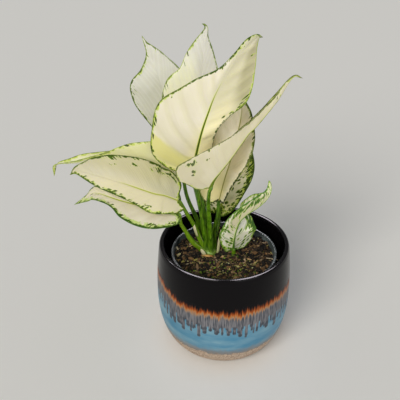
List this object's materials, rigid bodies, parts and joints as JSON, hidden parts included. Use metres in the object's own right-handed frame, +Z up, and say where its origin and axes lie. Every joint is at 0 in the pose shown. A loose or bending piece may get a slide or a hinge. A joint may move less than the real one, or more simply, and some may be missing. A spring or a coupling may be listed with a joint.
{
  "type": "potted chinese evergreen",
  "caption": "Chinese evergreen with pale cream-white leaves on green stalks, in a nursery pot inside a rounded glazed stoneware cover pot.",
  "frame": {"origin": "middle of the flat foot of the cover pot", "axes": "+Z up along the pot's axis; -Y to the front, the side that the plant is seen from; -X to the side that most leaves lean to"},
  "size_m": [0.2632, 0.15, 0.355],
  "materials": {
    "black_and_blue_glazed_stoneware": "gloss",
    "dark_green_plastic": "satin",
    "potting_soil": "rough, loose coir and bark",
    "green_stalk": "satin",
    "cream_leaf": "satin, thin living leaf"
  },
  "bodies": {
    "root": {"cover_pot": "black_and_blue_glazed_stoneware", "nursery_pot": "dark_green_plastic", "potting_soil": "potting_soil", "main_shoot": "green_stalk", "side_shoot": "green_stalk", "leaf_back_left": "cream_leaf", "leaf_back_middle": "cream_leaf", "leaf_front_middle": "cream_leaf", "leaf_front_right": "cream_leaf", "leaf_right_upper": "cream_leaf", "leaf_right_lower": "cream_leaf", "leaf_left_upper": "cream_leaf", "leaf_left_middle": "cream_leaf", "leaf_left_lower": "cream_leaf", "leaf_side_shoot": "cream_leaf"}
  },
  "joints": []
}
